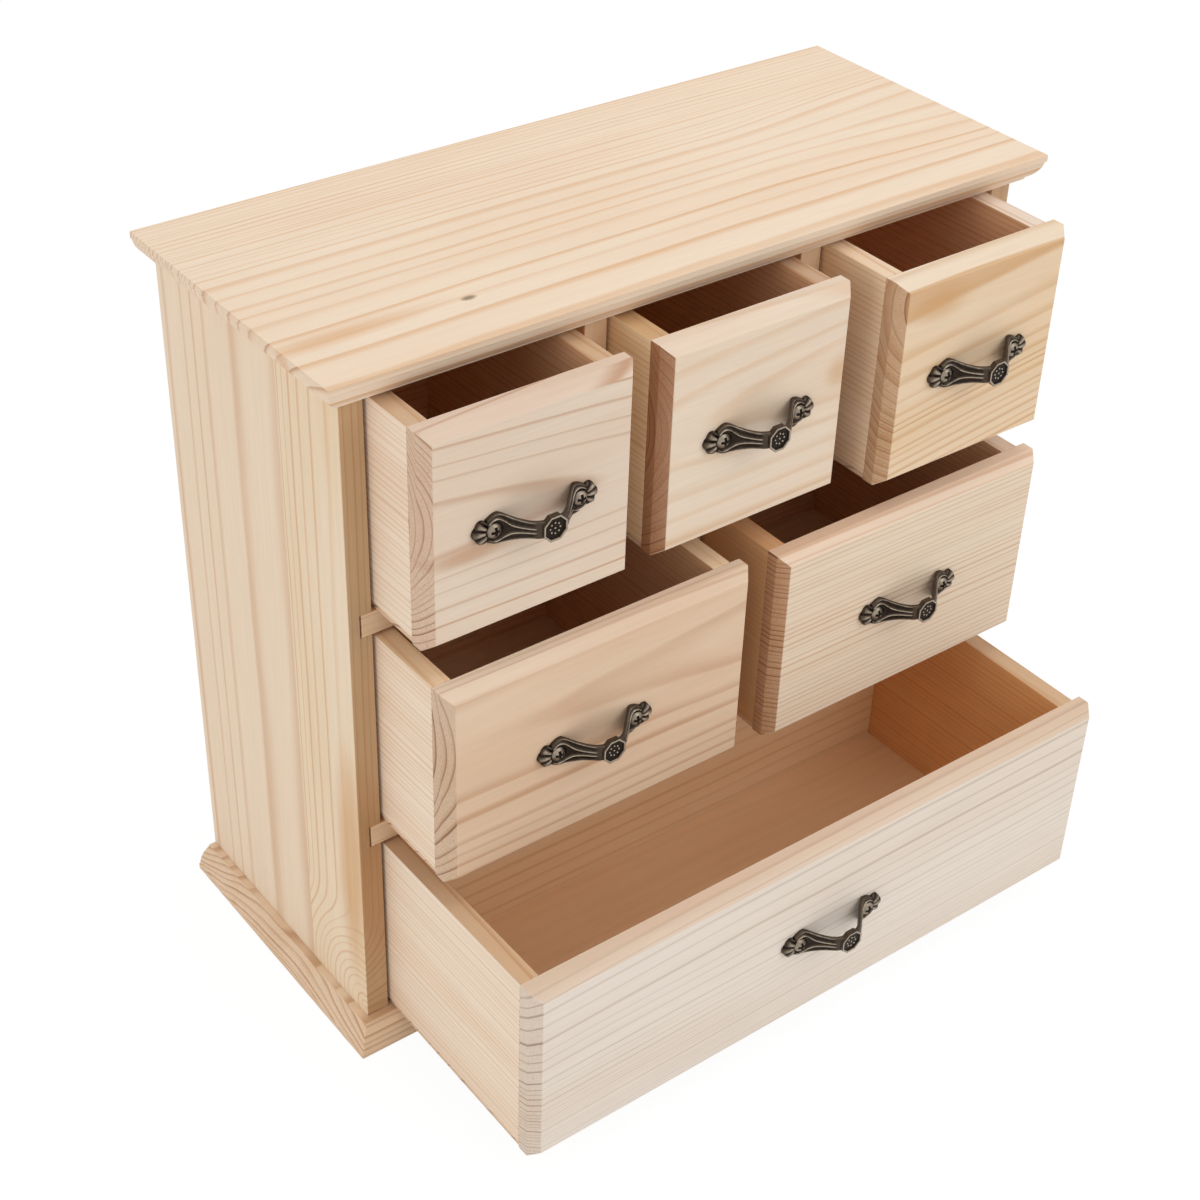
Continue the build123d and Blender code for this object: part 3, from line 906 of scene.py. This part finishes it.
# Pull screws: two round-headed cross-slot screws in each pull, of the same bronze, dark in the slots.
# They sit in the seats of the feet and bite into the drawer front behind.
head_radius = 0.00275
head_height = 0.0016
head_top = 0.0034
dome_radius = (head_radius ** 2 + head_height ** 2) / (2 * head_height)
slot_reach = 0.0019
slot_floor_depth = 0.0002
slot_wear = -1.8
dome_wear = 0.6
screw_smooth_angle = math.radians(35)
for name in drawer_names:
    node = name + "_pull_screws"
    pair = bpy.data.objects.new(name + "_screw_pair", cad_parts[node].data.copy())
    bpy.context.collection.objects.link(pair)
    bpy.context.view_layer.objects.active = pair
    pair.select_set(True)
    bpy.ops.object.mode_set(mode="EDIT")
    bpy.ops.mesh.select_all(action="SELECT")
    bpy.ops.mesh.remove_doubles(threshold=merge_gap)
    bpy.ops.object.mode_set(mode="OBJECT")
    bpy.ops.object.shade_smooth_by_angle(angle=screw_smooth_angle)
    pair.select_set(False)
    middle, face, height = pull_centres[name]
    worn = pair.data.attributes.new("wear", "FLOAT", "POINT")
    for point in pair.data.vertices:
        axis = middle + math.copysign(screw_place * millimetre, point.co.x - middle)
        reach = math.hypot(point.co.x - axis, point.co.z - height)
        dome = head_top - dome_radius + math.sqrt(max(dome_radius ** 2 - reach ** 2, 0.0))
        in_slot = reach < slot_reach and face - point.co.y < dome - slot_floor_depth
        worn.data[point.index].value = slot_wear if in_slot else dome_wear
    dress(pair, bronze)
    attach(pair, name + "_drawer")
    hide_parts(node)


# Floor: a plain white sheet of paper that goes on out of the picture.
# It looks almost evenly white to the camera and keeps a faint shadow.
paper_white = (0.95, 0.95, 0.95, 1)
glow_strength = 1.04
glow_share = 0.90
bpy.ops.mesh.primitive_plane_add(size=12, location=(0, 0, 0))
floor = bpy.context.object
floor.name = "floor"
paper = bpy.data.materials.new("white paper")
paper.use_nodes = True
tree = paper.node_tree
tree.nodes.remove(tree.nodes["Principled BSDF"])
matt = tree.nodes.new("ShaderNodeBsdfDiffuse")
matt.inputs["Color"].default_value = paper_white
glow = tree.nodes.new("ShaderNodeEmission")
glow.inputs["Strength"].default_value = glow_strength


def seen_directly(tree):
    rays = tree.nodes.new("ShaderNodeLightPath").outputs
    seen = reckon(tree, "ADD", rays["Is Camera Ray"], rays["Is Glossy Ray"])
    seen = reckon(tree, "ADD", seen, rays["Is Transmission Ray"])
    return reckon(tree, "MINIMUM", seen, 1.0)


mixed = tree.nodes.new("ShaderNodeMixShader")
tree.links.new(reckon(tree, "MULTIPLY", seen_directly(tree), glow_share), mixed.inputs[0])
tree.links.new(matt.outputs[0], mixed.inputs[1])
tree.links.new(glow.outputs[0], mixed.inputs[2])
tree.links.new(mixed.outputs[0], tree.nodes["Material Output"].inputs["Surface"])
floor.data.materials.append(paper)


# Studio: a white room with even light, and soft boxes above, to the left and in front.
# The room itself shows as plain white, but lights the object less than that.
room_light = 0.61
world = bpy.data.worlds.new("white room")
bpy.context.scene.world = world
world.use_nodes = True
tree = world.node_tree
room = tree.nodes["Background"]
room.inputs["Strength"].default_value = room_light
sky = tree.nodes.new("ShaderNodeBackground")
sky.inputs["Strength"].default_value = 1.0
for background in (room, sky):
    background.inputs["Color"].default_value = (1, 1, 1, 1)
mixed = tree.nodes.new("ShaderNodeMixShader")
tree.links.new(seen_directly(tree), mixed.inputs[0])
tree.links.new(room.outputs[0], mixed.inputs[1])
tree.links.new(sky.outputs[0], mixed.inputs[2])
tree.links.new(mixed.outputs[0], tree.nodes["World Output"].inputs["Surface"])
lit_point = Vector((0, 0, 0.12))


def soft_box(name, place, power, size):
    lamp = bpy.data.lights.new(name, "AREA")
    lamp.energy = power
    lamp.size = size
    holder = bpy.data.objects.new(name, lamp)
    bpy.context.collection.objects.link(holder)
    holder.location = place
    holder.rotation_euler = (lit_point - Vector(place)).to_track_quat("-Z", "Y").to_euler()


soft_box("top box", (0.2, -0.10, 1.5), power=4.3, size=0.9)
soft_box("left box", (-1.5, -0.1, 0.5), power=3.9, size=1.0)
soft_box("front box", (0.5, -1.1, 1.1), power=3.6, size=0.8)
bpy.context.scene.view_settings.view_transform = "Standard"


# Camera: looks down at the front left corner, as the photograph does.
# It stands off from half the chest's height, turned by a small roll and moved a little across the view.
azimuth = math.radians(-38.029)
elevation = math.radians(35.787)
roll = math.radians(2.020)
distance = 0.8142
move_right = 0.0030
move_up = -0.02809
focal_pixels = 2126.0
picture_pixels = 1200
towards = Vector((
    math.sin(azimuth) * math.cos(elevation),
    -math.cos(azimuth) * math.cos(elevation),
    math.sin(elevation),
))
level = (-towards).cross(Vector((0, 0, 1))).normalized()
upright = level.cross(-towards)
right = level * math.cos(roll) + upright * math.sin(roll)
up = upright * math.cos(roll) - level * math.sin(roll)
half_chest = Vector((0, 0, (cad_box[0][2] + cad_box[1][2]) / 2))
eye = half_chest + towards * distance + right * move_right + up * move_up
lens = bpy.data.cameras.new("camera")
lens.sensor_width = 36.0
lens.lens = focal_pixels / picture_pixels * lens.sensor_width
lens.clip_start = 0.01
camera = bpy.data.objects.new("camera", lens)
bpy.context.collection.objects.link(camera)
camera.matrix_world = Matrix((
    (right.x, up.x, towards.x, eye.x),
    (right.y, up.y, towards.y, eye.y),
    (right.z, up.z, towards.z, eye.z),
    (0, 0, 0, 1),
))
bpy.context.scene.camera = camera
